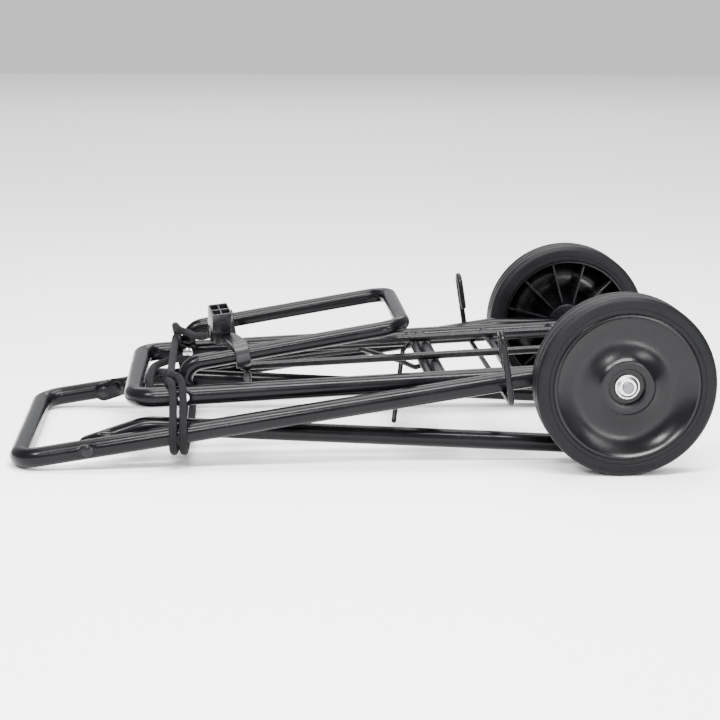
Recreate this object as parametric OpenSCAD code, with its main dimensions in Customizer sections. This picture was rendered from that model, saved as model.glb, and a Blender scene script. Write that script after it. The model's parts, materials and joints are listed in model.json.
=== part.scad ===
// Folding platform cart, folded flat and lying on its back.
// +X runs from the end loop of the back frame to the wheels, +Y across the cart, +Z up.
// The origin is under the middle of the cart, on the surface it lies on.

/* [Wheels] */
// Outer diameter of a tyre
wheel_d = 180; // [178:1:182]
// Width of a tyre
wheel_w = 41; // [30:1:52]
// Distance between the middles of the two tyres
track = 353; // [345:1:440]
// Diameter where the tyre sits on the hub
rim_d = 147; // [122:1:149]
// Outer diameter of the boss on the outside of the hub
boss_d = 53; // [40:1:64]
// Outer diameter of the barrel on the inside of the hub
barrel_d = 46; // [34:1:50]
// Number of ribs in the back of the hub
ribs = 12; // [6:1:16]
// Diameter of the axle
axle_d = 12; // [8:0.5:14]

/* [Back frame] */
// Diameter of the back frame's tube
frame_tube = 20; // [19.5:0.5:20]
// From the axle to the middle of the end bar
frame_reach = 602; // [598:1:606]
// Width between the middles of the legs
frame_w = 287; // [250:1:289]
// Bend radius of the end corners
frame_bend = 24; // [20:1:50]
// From the axle to the knee where the legs turn level
knee_x = 90; // [70:1:110]
// Wall of every bent tube
wall = 1.5; // [1:0.1:2]

/* [Handle frame] */
// Diameter of the handle frame's tube
handle_tube = 19; // [14:0.5:19]
// From the axle to the handle frame's rivets
handle_pivot_x = 532; // [500:1:540]
// Length of the short first stretch of the handle legs
handle_neck = 60; // [50:1:80]
// How far the handle's closed end lies beyond the axle
handle_end_x = 50; // [20:1:60]

/* [Platform] */
// Diameter of the platform loop's tube
platform_tube = 20; // [16:0.5:20]
// From the axle to the middle of the platform's end bar
platform_len = 488; // [460:1:560]
// How far the platform's tubes lie above the axle's middle
platform_lift = 2.3; // [2.3:0.1:2.6]
// Droop of the folded platform below level, in degrees
platform_droop = 2.95; // [2:0.05:3]
// Diameter of the rods of the grid
rod_d = 8; // [5:0.5:9]
// From the axle to the cross tube
cross_x = 176; // [150:1:220]
// Diameter of the cross tube
cross_tube = 16; // [12:0.5:18]
// From the axle to the far ends of the long rods
grid_len = 372; // [330:1:376]

/* [Leg frame] */
// Diameter of the leg frame's tube
leg_tube = 16; // [12:0.5:17]
// From the axle to the leg's rivets, along the platform
leg_pivot_x = 437; // [430:1:450]
// Rise from the rivet to the corner of the goose-neck
leg_neck = 28.5; // [27:0.5:36]
// Length from the corner to the middle of the closed end
leg_len = 225; // [180:1:250]
// Slope of the folded leg, in degrees
leg_slope = 9.8; // [8:0.1:12]

/* [Wire and cord] */
// Diameter of the stay wires
stay_d = 5.5; // [4:0.5:6]
// Diameter of the cord hook wire
hook_wire_d = 6; // [4:0.5:7]
// Height of the cord hooks above the wire's cross bar
hook_rise = 71; // [50:1:90]
// Diameter of the elastic cord
cord_d = 8; // [6:0.5:9]

/* [Hidden] */
$fn = 48;

run_gap = 0.05;              // radial running clearance on a pin or axle
side_gap = 1.5;              // between the back frame and the loops inside it
wheel_r = wheel_d / 2;
axle_z = wheel_r;
shift_x = (frame_reach + frame_tube / 2 - wheel_r) / 2;
hub_out = track / 2 + wheel_w / 2;
hub_in = track / 2 - wheel_w / 2;

// back frame
fr = frame_tube / 2;
fy = frame_w / 2;
frame_rise = wheel_r - fr;
slope = atan(frame_rise / (frame_reach - knee_x));
knee_r = 60;
knee_t = knee_r * tan(slope / 2);
leg_run = (frame_reach - knee_x) / cos(slope) - knee_t;
tube_over = 13;              // how far the legs run past the axle
function frame_z(x) = fr + (frame_reach - x) * tan(slope);

// platform, inside the back frame
pr = platform_tube / 2;
py = fy - fr - side_gap - pr;
platform_bend = 24;
platform_in = py - pr;       // inner face of the platform's legs

// handle frame, inside the back frame and under the platform
hr = handle_tube / 2;
hy = fy - fr - side_gap - hr;
handle_bend = 36;
handle_z = frame_z(handle_pivot_x);
neck_up = 18.2;              // slope of the handle's short stretch
knee_hx = -handle_pivot_x + handle_neck * cos(neck_up);
knee_hz = handle_z + handle_neck * sin(neck_up);
handle_run = sqrt(pow(handle_end_x - knee_hx, 2) + pow(knee_hz - hr - 2, 2));
handle_fall = asin((knee_hz - hr - 2) / handle_run);
handle_knee_r = 50;
handle_turn = neck_up + handle_fall;
eye_t = 5;                   // thickness of a flattened tube end
rivet_d = 6;
rivet_head = 12;
washer_d = 16;
dimple_r = 12;
dimple_depth = 3;
// how far from a dimple's deepest point a rivet head of radius r rests on its wall
function head_seat(r) = dimple_r - sqrt(dimple_r * dimple_r - r * r) + 0.05;

// leg frame, inside the platform
leg_gap = 0.9;
dr = leg_tube / 2;
dy = platform_in - leg_gap - dr;
leg_end_bend = 26;
neck_lean = 6;               // the neck's lean towards the wheels, in degrees
leg_turn = 90 - neck_lean - leg_slope + platform_droop;

// grid
cross_y = platform_in - 0.2; // half length of the cross tube
rod_z = cross_tube / 2 + rod_d / 2;
cross_rod_z = cross_tube / 2 - rod_d / 2;
rod_row = 50;                // from the middle to each long rod
cross_rod_places = [grid_len, cross_x + cross_tube / 2 + rod_d / 2, 104, 30];

// colours
black = [0.05, 0.05, 0.06];
rubber = [0.12, 0.12, 0.13];
plastic = [0.08, 0.08, 0.09];
zinc = [0.72, 0.72, 0.74];
webbing = [0.16, 0.16, 0.18];

module place() { translate([shift_x, 0, 0]) children(); }
module both() { children(); mirror([0, 1, 0]) children(); }
module along_y(h, r) { rotate([90, 0, 0]) cylinder(h = h, r = r, center = true); }
module along_x(h, r) { rotate([0, 90, 0]) cylinder(h = h, r = r); }

// a loop in the XY plane: end bar on x = 0, legs towards +X
module loop(half, len, bend, r) {
    translate([0, 0, 0]) along_y(2 * (half - bend), r);
    both() {
        translate([bend, half - bend, 0]) rotate([0, 0, 90])
            rotate_extrude(angle = 90) translate([bend, 0]) circle(r);
        translate([bend, half, 0]) along_x(len - bend, r);
    }
}

// an arc of tube in the XZ plane, from angle a through turn
module arc_xz(bend, a, turn, r) {
    rotate([90, 0, 0]) rotate([0, 0, a]) rotate_extrude(angle = turn) translate([bend, 0]) circle(r);
}

// an arc of tube in the YZ plane
module arc_yz(bend, a, turn, r) {
    rotate([90, 0, 90]) rotate([0, 0, a]) rotate_extrude(angle = turn) translate([bend, 0]) circle(r);
}

// a slightly wider ring along X that joins two stretches of tube end to end
module collar(r) { translate([-1, 0, 0]) along_x(2, r + 0.2); }

module washer(d, bore, t) {
    difference() {
        along_y(t, d / 2);
        along_y(t + 1, bore / 2 + run_gap);
    }
}

// ---- back frame ----
module frame_path(r, extra) {
    translate([-frame_reach, 0, fr]) rotate([0, -slope, 0]) {
        loop(fy, leg_run, frame_bend, r);
        both() translate([leg_run, fy, 0]) collar(r);
    }
    both() {
        translate([-knee_x + knee_t, fy, axle_z]) collar(r);
        translate([-knee_x + knee_t, fy, axle_z - knee_r]) arc_xz(knee_r, 90, slope, r);
        translate([-knee_x + knee_t, fy, axle_z]) along_x(knee_x - knee_t + tube_over + extra, r);
    }
}

module frame_dimples(grow) {
    both() translate([-handle_pivot_x, fy + fr + dimple_r - dimple_depth, handle_z]) sphere(dimple_r + grow);
}

module main_frame() {
    color(black) place() difference() {
        difference() {
            frame_path(fr, 0);
            frame_dimples(0);
        }
        difference() {
            frame_path(fr - wall, 1);
            frame_dimples(wall);
        }
        translate([0, 0, axle_z]) along_y(2 * fy + 2 * frame_tube, axle_d / 2 + run_gap);
        translate([-handle_pivot_x, 0, handle_z]) along_y(2 * fy + 2 * frame_tube, rivet_d / 2 + run_gap);
    }
}

plug_in = tube_over - axle_d / 2 - 2;
module plug(r) {
    along_x(3, r);
    translate([-plug_in, 0, 0]) along_x(plug_in, r - wall);
}

module frame_end_plugs() {
    color(plastic) place() both() translate([tube_over, fy, axle_z]) plug(fr);
}

hook_x = 116;                // from the axle to the hook wire
hook_y = hub_out - 4;
hook_r = hook_wire_d / 2;
hook_bow = 11;               // radius of the hook's bow
hook_low = 10;               // radius of the corner below a hook
hook_tip = 24;               // length of the hook's free end
module cord_hook_wire() {
    color(black) place()
    translate([-hook_x, 0, frame_z(hook_x)]) rotate([0, -slope, 0]) translate([0, 0, -fr - hook_r]) {
        along_y(2 * (hook_y - hook_low), hook_r);
        both() {
            translate([0, hook_y - hook_low, hook_low]) arc_yz(hook_low, -90, 90, hook_r);
            translate([0, hook_y, hook_low]) cylinder(h = hook_rise - hook_low - hook_bow, r = hook_r);
            translate([0, hook_y - hook_bow, hook_rise - hook_bow]) arc_yz(hook_bow, 0, 180, hook_r);
            translate([0, hook_y - 2 * hook_bow, hook_rise - hook_bow - hook_tip])
                cylinder(h = hook_tip, r = hook_r);
            translate([0, hook_y - 2 * hook_bow, hook_rise - hook_bow - hook_tip]) sphere(hook_r);
        }
    }
}

// ---- axle and wheels ----
nut_t = 3;
axle_half = hub_out + 1;
seat_in = 7;                 // depth of the push nut's seat below the outer face
module axle() {
    color(zinc) place() translate([0, 0, axle_z]) {
        along_y(2 * axle_half, axle_d / 2);
        both() translate([0, axle_half, 0]) rotate([-90, 0, 0])
            cylinder(h = 1, r1 = axle_d / 2, r2 = axle_d / 2 - 1);
    }
}

module axle_push_nuts() {
    color(zinc) place() both()
    translate([0, hub_out - seat_in + 0.3, axle_z]) rotate([-90, 0, 0]) difference() {
        union() {
            cylinder(h = nut_t, r = axle_d);
            translate([0, 0, nut_t]) cylinder(h = nut_t, r1 = axle_d - 1, r2 = axle_d * 0.68);
        }
        translate([0, 0, -1]) cylinder(h = 2 * nut_t + 2, r = axle_d / 2 + 0.02);
    }
}

barrel_out = 2;              // how far the hub barrel stands proud of the tyre's inner face
module wheel_spacers() {
    spacer = hub_in - barrel_out - 0.3 - fy - fr;
    color(zinc) place() both() translate([0, fy + fr + spacer / 2, axle_z])
        washer(axle_d + 8, axle_d, spacer);
}

// radius of the hub's outer surface against its depth: a shallow dish between boss and rim
dish_depth = 9;
dish_n = 16;
boss_r = boss_d / 2;
rim_r = rim_d / 2;
web = 3;
bush_r = axle_d / 2 + 2.5;
function dish(i) = let(t = i / dish_n) [rim_r - 3 - (rim_r - 3 - boss_r) * t,
                                        wheel_w - 1 - dish_depth * pow(sin(180 * t), 0.8) - 1.5 * t];
module wheel_hub() {
    rotate([-90, 0, 0]) translate([0, 0, hub_in]) {
        rotate_extrude($fn = 96) polygon(concat(
            [[rim_r, 1], [rim_r, wheel_w - 2], [rim_r - 1, wheel_w - 1]],
            [for (i = [0:dish_n]) dish(i)],
            [[boss_r - 1, wheel_w - 2], [axle_d + 7, wheel_w - 2], [axle_d + 6, wheel_w - 3],
             [axle_d + 6, wheel_w - seat_in], [bush_r, wheel_w - seat_in],
             [bush_r, -barrel_out], [barrel_d / 2, -barrel_out]],
            [for (i = [dish_n - 2:-1:2]) dish(i) - [0, web]],
            [[rim_r - 4, wheel_w - 8], [rim_r - 2.5, 1]]));
        difference() {
            for (k = [0:ribs - 1]) rotate([0, 0, k * 360 / ribs + 15])
                translate([barrel_d / 2 - 0.5, -1.1, 4]) cube([rim_r - barrel_d / 2 - 2.5, 2.2, wheel_w - 4]);
            rotate_extrude($fn = 96) polygon(concat(
                [[rim_r + 2, wheel_w + 2], [rim_r + 2, wheel_w - 5]],
                [for (i = [0:dish_n]) dish(i) - [0, web / 2]],
                [[0, wheel_w - 6], [0, wheel_w + 2]]));
        }
    }
}

shoulder = 6;                // rounding of the tyre's shoulders
groove = 1.2;                // depth and width of a tread groove
module tyre() {
    rotate([-90, 0, 0]) translate([0, 0, hub_in]) difference() {
        rotate_extrude($fn = 128) union() {
            translate([rim_r, 0]) square([wheel_r - rim_r - shoulder, wheel_w]);
            translate([rim_r + 4, shoulder]) square([wheel_r - rim_r - 4, wheel_w - 2 * shoulder]);
            for (z = [shoulder, wheel_w - shoulder]) translate([wheel_r - shoulder, z]) circle(shoulder);
        }
        for (z = [wheel_w / 2 - 8, wheel_w / 2 + 8])
            rotate_extrude($fn = 128)
                translate([wheel_r - groove, z - groove / 2]) square([groove + 1, groove]);
    }
}

module hub_bush() {
    rotate([-90, 0, 0]) translate([0, 0, hub_in - barrel_out]) difference() {
        cylinder(h = wheel_w - seat_in + barrel_out, r = bush_r);
        translate([0, 0, -1]) cylinder(h = wheel_w + 4, r = axle_d / 2 + run_gap);
    }
}

module on_right() { place() translate([0, 0, axle_z]) children(); }
module on_left() { place() translate([0, 0, axle_z]) mirror([0, 1, 0]) children(); }
module left_wheel_hub() { color(plastic) on_left() wheel_hub(); }
module left_tyre() { color(rubber) on_left() tyre(); }
module left_hub_bush() { color([0.3, 0.3, 0.32]) on_left() hub_bush(); }
module right_wheel_hub() { color(plastic) on_right() wheel_hub(); }
module right_tyre() { color(rubber) on_right() tyre(); }
module right_hub_bush() { color([0.3, 0.3, 0.32]) on_right() hub_bush(); }

// ---- handle frame ----
// a flattened tube end around a pivot at the origin, the tube starting at x = len
// its outer face lies on y = face
module eye(high, face, len) {
    translate([0, face - eye_t / 2, 0]) along_y(eye_t, high);
    translate([0, face - eye_t, 0.5 - high]) cube([len + 1, eye_t, 2 * high - 1]);
}

handle_eye_len = 26;
end_disc = 1.5;              // thickness of the closed end of a tube behind its eye
handle_t = handle_knee_r * tan(handle_turn / 2);
handle_short = handle_neck - handle_eye_len - handle_t;
module handle_path(r, inset) {
    both() translate([-handle_pivot_x, hy, handle_z]) rotate([0, -neck_up, 0]) {
        translate([handle_eye_len + inset, 0, 0]) along_x(handle_short - inset, r);
        translate([handle_neck - handle_t, 0, 0]) collar(r);
    }
    translate([knee_hx, 0, knee_hz]) rotate([0, handle_fall, 0]) {
        both() translate([handle_t, hy, 0]) {
            translate([0, 0, -handle_knee_r]) arc_xz(handle_knee_r, 90, handle_turn, r);
            collar(r);
        }
        translate([handle_run, 0, 0]) rotate([0, 0, 180]) loop(hy, handle_run - handle_t, handle_bend, r);
    }
}

module handle_frame() {
    color(black) place() difference() {
        union() {
            difference() {
                handle_path(hr, 0);
                handle_path(hr - wall, end_disc);
            }
            both() translate([-handle_pivot_x, 0, handle_z]) rotate([0, -neck_up, 0])
                eye(11, hy + hr, handle_eye_len);
        }
        translate([-handle_pivot_x, 0, handle_z]) along_y(2 * fy, rivet_d / 2 + run_gap);
    }
}

// a rivet along Y from y = a to y = b with a domed head on each end
module rivet(a, b, d) {
    translate([0, (a + b) / 2, 0]) along_y(b - a, rivet_d / 2);
    for (s = [[a, -1], [b, 1]]) translate([0, s[0], 0]) rotate([-90 * s[1], 0, 0]) {
        cylinder(h = 1, r = d / 2);
        translate([0, 0, 1]) cylinder(h = 1.2, r1 = d / 2, r2 = d / 4);
    }
}

module handle_rivets() {
    color(black) place() both() translate([-handle_pivot_x, 0, handle_z])
        rivet(hy + hr - eye_t - 0.3, fy + fr - dimple_depth + head_seat(rivet_head / 2), rivet_head);
}

module handle_washers() {
    color(zinc) place() both() translate([-handle_pivot_x, hy + hr + side_gap / 2, handle_z])
        washer(washer_d, rivet_d, side_gap - 0.1);
}

// ---- platform ----
module on_platform() {
    place() translate([0, 0, axle_z]) rotate([0, -platform_droop, 0])
        translate([0, 0, platform_lift]) children();
}
module platform_path(r, extra) {
    translate([-platform_len, 0, 0]) loop(py, platform_len + tube_over + extra, platform_bend, r);
}

module platform_dimples(grow) {
    both() translate([-leg_pivot_x, py + pr + dimple_r - dimple_depth, 0]) sphere(dimple_r + grow);
}

module platform_frame() {
    color(black) on_platform() difference() {
        difference() {
            platform_path(pr, 0);
            platform_dimples(0);
        }
        difference() {
            platform_path(pr - wall, 1);
            platform_dimples(wall);
        }
        translate([0, 0, -platform_lift]) along_y(2 * fy, axle_d / 2 + run_gap);
        translate([-leg_pivot_x, 0, 0]) along_y(2 * fy, rivet_d / 2 + run_gap);
    }
}

module platform_end_plugs() {
    color(plastic) on_platform() both() translate([tube_over, py, 0]) plug(pr);
}

module platform_spacers() {
    color(zinc) place() both() translate([0, py + pr + side_gap / 2, axle_z])
        washer(axle_d + 8, axle_d, side_gap - 0.1);
}

module platform_cross_tube() {
    color(black) on_platform() translate([-cross_x, 0, 0]) difference() {
        along_y(2 * cross_y, cross_tube / 2);
        along_y(2 * cross_y + 2, cross_tube / 2 - wall);
    }
}

module platform_cross_rods() {
    color(black) on_platform() difference() {
        for (x = cross_rod_places) translate([-x, 0, cross_rod_z]) along_y(2 * py, rod_d / 2);
        translate([-platform_len, 0, 0]) both() translate([0, py, 0]) along_x(platform_len + tube_over, pr);
    }
}

module platform_long_rods() {
    color(black) on_platform() both()
        translate([-grid_len - rod_d / 2, rod_row, rod_z]) along_x(grid_len + rod_d / 2 - 24, rod_d / 2);
}

// ---- leg frame ----
leg_eye_len = 10.5;
leg_head = 11;               // diameter of the leg's rivet heads
module on_leg() { on_platform() translate([-leg_pivot_x, 0, 0]) children(); }
module along_neck() { rotate([0, platform_droop - leg_slope - leg_turn, 0]) children(); }
module along_leg() { along_neck() translate([leg_neck, 0, 0]) rotate([0, leg_turn, 0]) children(); }
module leg_path(r, inset) {
    along_neck() both() translate([leg_eye_len + inset, dy, 0]) along_x(leg_neck - leg_eye_len - inset, r);
    along_leg() {
        both() translate([0, dy, 0]) sphere(r + 0.1);
        translate([leg_len, 0, 0]) rotate([0, 0, 180]) loop(dy, leg_len, leg_end_bend, r);
    }
}

module leg_frame() {
    color(black) on_leg() difference() {
        union() {
            difference() {
                leg_path(dr, 0);
                leg_path(dr - wall, end_disc / 2);
            }
            both() along_neck() eye(8, dy + dr, leg_eye_len);
        }
        along_y(2 * fy, rivet_d / 2 + run_gap);
    }
}

module leg_rivets() {
    color(zinc) on_leg() both() rivet(dy + dr - eye_t - 0.3,
        py + pr - dimple_depth + head_seat(leg_head / 2), leg_head);
}

module leg_washers() {
    color(zinc) on_leg() both() translate([0, dy + dr + leg_gap / 2, 0]) washer(washer_d - 2, rivet_d, leg_gap - 0.1);
}

// ---- swept wires and cords ----
function unit(v) = v / norm(v);
function along(p, i) = unit(p[min(i + 1, len(p) - 1)] - p[max(i - 1, 0)]);
function aside(t) = unit(cross(t, abs(t[0]) < 0.8 ? [1, 0, 0] : [0, 0, 1]));
// one ring of n points around point i of a route, square to the route there
function ring(p, i, r, n) = let(t = along(p, i), u = aside(t), w = cross(t, u))
    [for (k = [0:n - 1]) p[i] + r * (cos(k * 360 / n) * u + sin(k * 360 / n) * w)];
module sweep(p, r, n) {
    last = len(p) - 1;
    polyhedron(
        points = [for (i = [0:last]) for (q = ring(p, i, r, n)) q],
        faces = concat(
            [[for (k = [n - 1:-1:0]) k]],
            [[for (k = [0:n - 1]) last * n + k]],
            [for (i = [0:last - 1]) for (k = [0:n - 1]) let(m = (k + 1) % n)
                [i * n + k, i * n + m, (i + 1) * n + m, (i + 1) * n + k]]));
}

// ---- stay wires, welded to the cross tube ----
long_stay = [
    [-200, 94, -14], [-160, 96, -12], [-110, 98, -9], [-72, 98, -7], [-66, 94, -6], [-62, 86, -6],
    [-33, 24, -6], [-20, -20, -5], [-16, -27, -4], [-8.5, -31, -1]];
short_stay = [
    [-8.3, 104, -2], [-14, 103, -5], [-19, 100, -9], [-22, 97, -16], [-40, 20, -72]];
module stay_wires() {
    color(black) on_platform() translate([-cross_x, 0, 0]) {
        sweep(long_stay, stay_d / 2, 12);
        sweep(short_stay, stay_d / 2, 12);
    }
}

// ---- elastic cord, as points from the axle's line ----
cord_r = cord_d / 2;
wrap_points = [
    [-390, 82, 62], [-405, 78, 64], [-425, 62, 70], [-446, 37, 76], [-458, 12, 78], [-469, -12, 78],
    [-472, -38, 77], [-473, -58, 73], [-472, -70, 65], [-472, -66, 56], [-474, -50, 51], [-476, -20, 51],
    [-477, 16, 52], [-476, 50, 53], [-472, 66, 54], [-464, 58, 57], [-459, 30, 60], [-456, -10, 63],
    [-454, -50, 67], [-453, -84, 71], [-453, -103, 77], [-452, -113, 82], [-450, -122, 84], [-448, -132, 81],
    [-447, -139, 72], [-447, -147, 58], [-447, -156, 46], [-447, -160, 35], [-447, -155, 23], [-446, -144, 18],
    [-445, -110, 17], [-443, -70, 17], [-441, -30, 17], [-440, 30, 17], [-440, 70, 17], [-440, 110, 17],
    [-441, 144, 18], [-442, 155, 23], [-443, 160, 35], [-444, 156, 46], [-446, 147, 58], [-448, 139, 72],
    [-449, 132, 81], [-450, 122, 84], [-450, 103, 86], [-450, 60, 87], [-450, 0, 88], [-450, -60, 88],
    [-450, -103, 88], [-446, -114, 89], [-441, -124, 88], [-438, -134, 83], [-437, -141, 72], [-437, -148, 58],
    [-437, -156, 46], [-437, -160, 35], [-437, -155, 23], [-436, -144, 18], [-435, -110, 17], [-433, -70, 17],
    [-432, -30, 17], [-431, 30, 17], [-431, 70, 17], [-431, 110, 17], [-432, 144, 18], [-433, 155, 23],
    [-434, 160, 35], [-436, 158, 47], [-440, 151, 60], [-445, 145, 74], [-449, 139, 86], [-450, 131, 92], [-450, 125, 95]];
tail_points = [
    [-450, 123.5, 95.8], [-450, 112, 99], [-445, 92, 98], [-436, 74, 98], [-428, 50, 99], [-420, 20, 104],
    [-412, -10, 111], [-406, -34, 118]];
module bungee_wraps() { color(webbing) place() sweep(wrap_points, cord_r, 8); }
module bungee_tail() { color(webbing) place() sweep(tail_points, cord_r, 8); }

// ---- plastic hooks of the cord: a flat band bent round the leg's tube, a strap and a head ----
band = 4;                    // thickness of the band
bow_r = dr + 2.6;             // inner radius of the bow
hook_head = 11;              // radius of a hook's head
module bow(width, a, turn) {
    rotate([90, 0, 90]) rotate([0, 0, a]) rotate_extrude(angle = turn)
        translate([bow_r, -width / 2]) square([band, width]);
}

upper_at = 56;               // from the leg's corner to the upper hook
strap_len = 50;
module bungee_hook_upper() {
    color(plastic) on_leg() along_leg() translate([upper_at, -dy, 0]) rotate([0, 0, 14]) {
        bow(15, 90, 150);
        translate([-7.5, 0, bow_r]) cube([15, strap_len, band]);
        translate([-9, strap_len, bow_r]) {
            cylinder(h = 16, r1 = hook_head - 2, r2 = hook_head);
            translate([0, 0, 16]) cylinder(h = 22, r = hook_head);
        }
    }
}

lower_at = 45;               // from the leg's corner to the lower hook
module bungee_hook_lower() {
    color(plastic) on_leg() along_leg() translate([lower_at, dy, dr - bow_r + 0.05]) {
        bow(12, 10, 170);
        translate([-5.5, -bow_r - band + 0.3, -24]) cube([11, band - 0.6, 26]);
        translate([0, -bow_r - band - 5, -34]) cylinder(h = 16, r = 6.8);
    }
}

main_frame();
frame_end_plugs();
cord_hook_wire();
axle();
axle_push_nuts();
wheel_spacers();
left_wheel_hub();
left_tyre();
left_hub_bush();
right_wheel_hub();
right_tyre();
right_hub_bush();
handle_frame();
handle_rivets();
handle_washers();
platform_frame();
platform_end_plugs();
platform_spacers();
platform_cross_tube();
platform_cross_rods();
platform_long_rods();
leg_frame();
leg_rivets();
leg_washers();
stay_wires();
bungee_wraps();
bungee_tail();
bungee_hook_upper();
bungee_hook_lower();
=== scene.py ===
import json
import math

import bmesh
import bpy
from mathutils import Matrix, Vector


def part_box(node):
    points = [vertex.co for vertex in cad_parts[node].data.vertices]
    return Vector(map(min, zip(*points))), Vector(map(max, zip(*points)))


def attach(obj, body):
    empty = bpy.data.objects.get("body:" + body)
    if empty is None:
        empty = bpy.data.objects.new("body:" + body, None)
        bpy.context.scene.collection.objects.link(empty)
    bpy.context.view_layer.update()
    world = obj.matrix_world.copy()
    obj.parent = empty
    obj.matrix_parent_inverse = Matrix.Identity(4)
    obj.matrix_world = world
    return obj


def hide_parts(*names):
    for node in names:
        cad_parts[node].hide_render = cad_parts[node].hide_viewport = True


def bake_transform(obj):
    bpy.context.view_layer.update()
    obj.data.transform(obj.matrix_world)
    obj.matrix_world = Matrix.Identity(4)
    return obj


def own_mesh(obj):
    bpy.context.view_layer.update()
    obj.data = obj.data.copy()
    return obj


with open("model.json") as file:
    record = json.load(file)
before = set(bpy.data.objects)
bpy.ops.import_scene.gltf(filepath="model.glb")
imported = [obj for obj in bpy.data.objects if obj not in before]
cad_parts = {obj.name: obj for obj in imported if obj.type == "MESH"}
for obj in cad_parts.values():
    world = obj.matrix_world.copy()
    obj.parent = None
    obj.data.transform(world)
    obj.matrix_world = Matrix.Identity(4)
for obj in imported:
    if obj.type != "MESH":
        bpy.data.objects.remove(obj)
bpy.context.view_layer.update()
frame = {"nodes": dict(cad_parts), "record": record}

nodes = frame["nodes"]
mm = 0.001


def nodeMiddle(name):
    low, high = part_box(name)
    return (Vector(low) + Vector(high)) / 2


axleAt = nodeMiddle("axle")

cameraLook = {
    "place": (-0.1327, -2.0956, 0.4991),
    "yaw": 3.9,  # degrees towards +X
    "pitch": 11.267,  # degrees down
    "roll": 0.33,
    "lens": 100,
    "sensor": 36,
}


def placeCamera():
    turn = (
        Matrix.Rotation(-math.radians(cameraLook["yaw"]), 4, "Z")
        @ Matrix.Rotation(math.radians(90 - cameraLook["pitch"]), 4, "X")
        @ Matrix.Rotation(math.radians(cameraLook["roll"]), 4, "Z")
    )
    bpy.ops.object.camera_add(location=cameraLook["place"], rotation=turn.to_euler())
    camera = bpy.context.object
    camera.data.lens = cameraLook["lens"]
    camera.data.sensor_width = cameraLook["sensor"]
    bpy.context.scene.camera = camera


# helpers for modelling
def clearSelection():
    if bpy.context.object and bpy.context.object.mode != "OBJECT":
        bpy.ops.object.mode_set(mode="OBJECT")
    bpy.ops.object.select_all(action="DESELECT")


def pickOnly(piece):
    clearSelection()
    piece.select_set(True)
    bpy.context.view_layer.objects.active = piece


def finishPiece(piece, name, material, smoothAngle=35):
    pickOnly(piece)
    bpy.ops.object.transform_apply(location=True, rotation=True, scale=True)
    bpy.ops.object.mode_set(mode="EDIT")
    bpy.ops.mesh.select_all(action="SELECT")
    bpy.ops.mesh.remove_doubles(threshold=0.00001)
    bpy.ops.mesh.normals_make_consistent(inside=False)
    bpy.ops.object.mode_set(mode="OBJECT")
    bpy.ops.object.shade_smooth_by_angle(angle=math.radians(smoothAngle))
    piece.name = name
    piece.data.name = name
    piece.data.materials.clear()
    piece.data.materials.append(material)
    return piece


def joinPieces(pieces):
    pickOnly(pieces[0])
    for piece in pieces[1:]:
        piece.select_set(True)
    bpy.ops.object.join()
    return bpy.context.object


def applyModifier(piece, kind, **values):
    pickOnly(piece)
    modifier = piece.modifiers.new(kind.lower(), kind)
    for key, value in values.items():
        setattr(modifier, key, value)
    bpy.ops.object.modifier_apply(modifier=modifier.name)



def turned(centre, outline, steps=160):
    # a ring extruded and scaled from one outline point (radius, Y) to the next, round the Y axis
    clearSelection()
    radius, along = outline[0]
    bpy.ops.mesh.primitive_circle_add(
        vertices=steps, radius=radius, fill_type="NOTHING",
        location=(centre[0], along, centre[2]), rotation=(math.pi / 2, 0, 0))
    piece = bpy.context.object
    bpy.ops.object.transform_apply(location=False, rotation=True, scale=False)
    bpy.ops.object.mode_set(mode="EDIT")
    bpy.ops.mesh.select_all(action="SELECT")
    for nextRadius, nextAlong in outline[1:]:
        bpy.ops.mesh.extrude_edges_move(TRANSFORM_OT_translate={"value": (0, nextAlong - along, 0)})
        grow = nextRadius / radius
        if abs(grow - 1) > 1e-6:
            bpy.ops.transform.resize(
                value=(grow, 1, grow), center_override=(centre[0], nextAlong, centre[2]))
        radius, along = nextRadius, nextAlong
    bpy.ops.object.mode_set(mode="OBJECT")
    return piece


def block(low, high, bevel=0.0006, segments=2):
    low, high = Vector(low), Vector(high)
    clearSelection()
    bpy.ops.mesh.primitive_cube_add(size=1, location=(low + high) / 2, scale=high - low)
    piece = bpy.context.object
    bpy.ops.object.transform_apply(location=False, rotation=False, scale=True)
    bpy.ops.object.mode_set(mode="EDIT")
    bpy.ops.mesh.select_all(action="SELECT")
    if bevel:
        bpy.ops.mesh.bevel(offset=bevel, segments=segments, affect="EDGES")
    bpy.ops.object.mode_set(mode="OBJECT")
    return piece


def smoothRoute(points, steps):
    # a Catmull-Rom curve through the points
    route = []
    count = len(points)
    for i in range(count - 1):
        a = points[max(i - 1, 0)]
        b, c = points[i], points[i + 1]
        d = points[min(i + 2, count - 1)]
        for k in range(steps):
            t = k / steps
            route.append(0.5 * (
                2 * b + (c - a) * t + (2 * a - 5 * b + 4 * c - d) * t * t
                + (3 * b - a - 3 * c + d) * t ** 3))
    route.append(points[-1])
    return route


def routeLength(route):
    return sum((b - a).length for a, b in zip(route, route[1:]))


def sweptTube(route, radius, sides=24, capped=True, section=None):
    # a curve along the route, given a round or ribbed section and turned into a mesh
    curve = bpy.data.curves.new("route", "CURVE")
    curve.dimensions = "3D"
    curve.twist_mode = "MINIMUM"
    spline = curve.splines.new("POLY")
    spline.points.add(len(route) - 1)
    for point, place in zip(spline.points, route):
        point.co = (*place, 1)
    if section:
        curve.bevel_mode = "OBJECT"
        curve.bevel_object = section
    else:
        curve.bevel_depth = radius
        curve.bevel_resolution = max(sides // 4 - 1, 1)
    curve.use_fill_caps = capped
    piece = bpy.data.objects.new("tube", curve)
    bpy.context.scene.collection.objects.link(piece)
    pickOnly(piece)
    bpy.ops.object.convert(target="MESH")
    return bpy.context.object


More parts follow.
